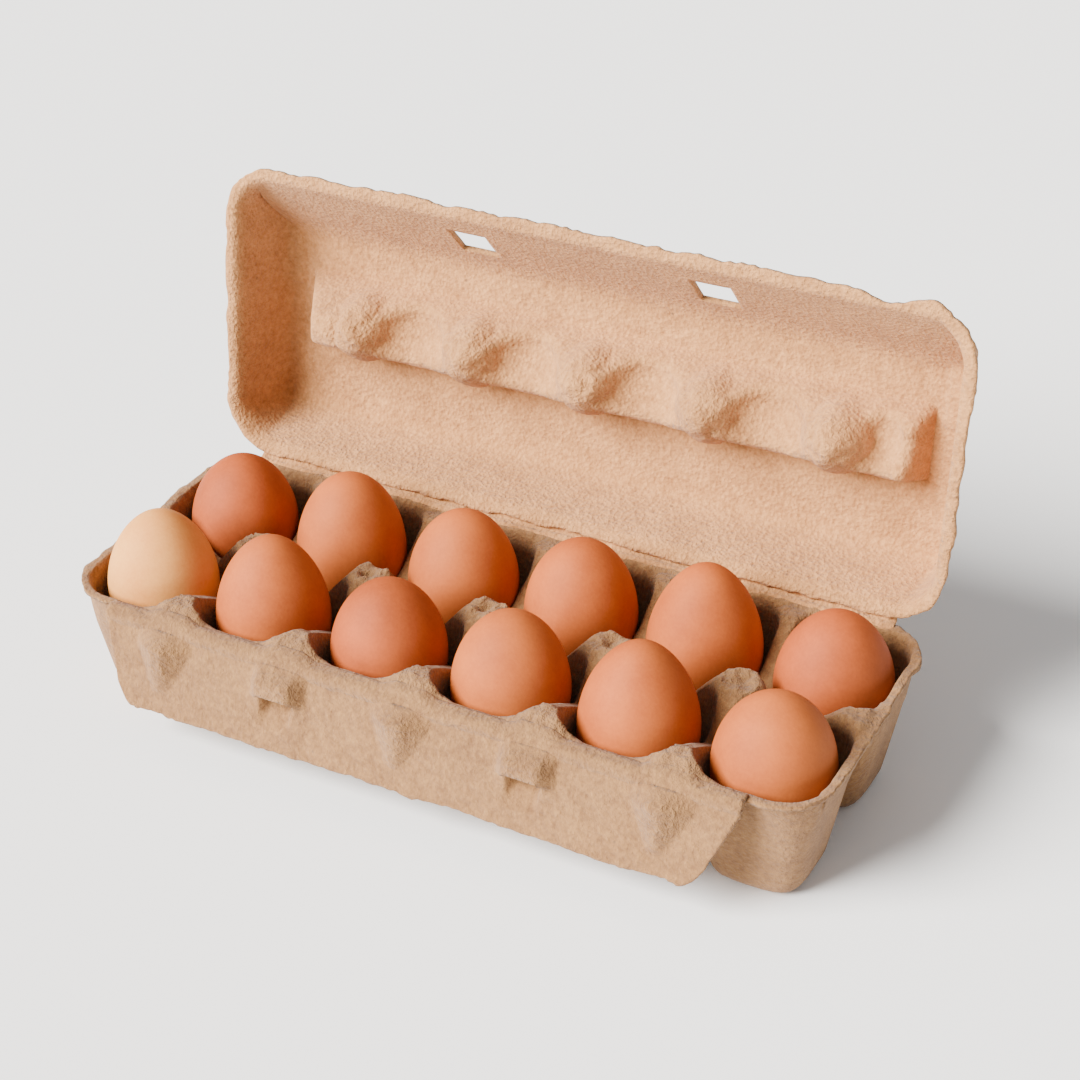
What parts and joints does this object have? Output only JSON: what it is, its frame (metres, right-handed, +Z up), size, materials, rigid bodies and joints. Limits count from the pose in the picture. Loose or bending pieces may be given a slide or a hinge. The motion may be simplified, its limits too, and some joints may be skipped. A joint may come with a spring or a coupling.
{
  "type": "egg carton",
  "caption": "Open moulded-pulp egg carton filled with hen's eggs, with a hinged lid, an inner spacer ridge and a front locking flap with latch buttons.",
  "frame": {"origin": "on the surface the cups stand on, midway along the carton and midway between the two rows of cells", "axes": "+X along the carton, +Y from the flap at the front to the lid hinge at the back, +Z up"},
  "size_m": [0.306, 0.1694, 0.1723],
  "materials": {
    "pulp_tray": "matte moulded pulp",
    "pulp_lid": "matte moulded pulp",
    "eggshell_brown": "satin eggshell",
    "eggshell_pale": "satin eggshell"
  },
  "bodies": {
    "tray": {"tray": "pulp_tray", "rear_crease": "pulp_lid", "front_crease": "pulp_tray"},
    "lid": {"lid": "pulp_lid"},
    "locking_flap": {"locking_flap": "pulp_tray"},
    "egg_front_1": {"egg_front_1": "eggshell_pale"},
    "egg_front_2": {"egg_front_2": "eggshell_brown"},
    "egg_front_3": {"egg_front_3": "eggshell_brown"},
    "egg_front_4": {"egg_front_4": "eggshell_brown"},
    "egg_front_5": {"egg_front_5": "eggshell_brown"},
    "egg_front_6": {"egg_front_6": "eggshell_brown"},
    "egg_back_1": {"egg_back_1": "eggshell_brown"},
    "egg_back_2": {"egg_back_2": "eggshell_brown"},
    "egg_back_3": {"egg_back_3": "eggshell_brown"},
    "egg_back_4": {"egg_back_4": "eggshell_brown"},
    "egg_back_5": {"egg_back_5": "eggshell_brown"},
    "egg_back_6": {"egg_back_6": "eggshell_brown"}
  },
  "joints": [
    {"name": "lid_hinge", "type": "hinge", "parent": "tray", "child": "lid", "pos_m": [0, 0.0575, 0.053], "axis": [-1, 0, 0], "range_deg": [-99.5, 74]},
    {"name": "flap_fold", "type": "hinge", "parent": "tray", "child": "locking_flap", "pos_m": [0, -0.0575, 0.045], "axis": [1, 0, 0], "range_deg": [-197, 8]},
    {"name": "egg_front_1_lift", "type": "slide", "parent": "tray", "child": "egg_front_1", "axis": [0, 0, 1], "range_m": [0, 0.08]},
    {"name": "egg_front_2_lift", "type": "slide", "parent": "tray", "child": "egg_front_2", "axis": [0, 0, 1], "range_m": [0, 0.08]},
    {"name": "egg_front_3_lift", "type": "slide", "parent": "tray", "child": "egg_front_3", "axis": [0, 0, 1], "range_m": [0, 0.08]},
    {"name": "egg_front_4_lift", "type": "slide", "parent": "tray", "child": "egg_front_4", "axis": [0, 0, 1], "range_m": [0, 0.08]},
    {"name": "egg_front_5_lift", "type": "slide", "parent": "tray", "child": "egg_front_5", "axis": [0, 0, 1], "range_m": [0, 0.08]},
    {"name": "egg_front_6_lift", "type": "slide", "parent": "tray", "child": "egg_front_6", "axis": [0, 0, 1], "range_m": [0, 0.08]},
    {"name": "egg_back_1_lift", "type": "slide", "parent": "tray", "child": "egg_back_1", "axis": [0, 0, 1], "range_m": [0, 0.08]},
    {"name": "egg_back_2_lift", "type": "slide", "parent": "tray", "child": "egg_back_2", "axis": [0, 0, 1], "range_m": [0, 0.08]},
    {"name": "egg_back_3_lift", "type": "slide", "parent": "tray", "child": "egg_back_3", "axis": [0, 0, 1], "range_m": [0, 0.08]},
    {"name": "egg_back_4_lift", "type": "slide", "parent": "tray", "child": "egg_back_4", "axis": [0, 0, 1], "range_m": [0, 0.08]},
    {"name": "egg_back_5_lift", "type": "slide", "parent": "tray", "child": "egg_back_5", "axis": [0, 0, 1], "range_m": [0, 0.08]},
    {"name": "egg_back_6_lift", "type": "slide", "parent": "tray", "child": "egg_back_6", "axis": [0, 0, 1], "range_m": [0, 0.08]}
  ]
}
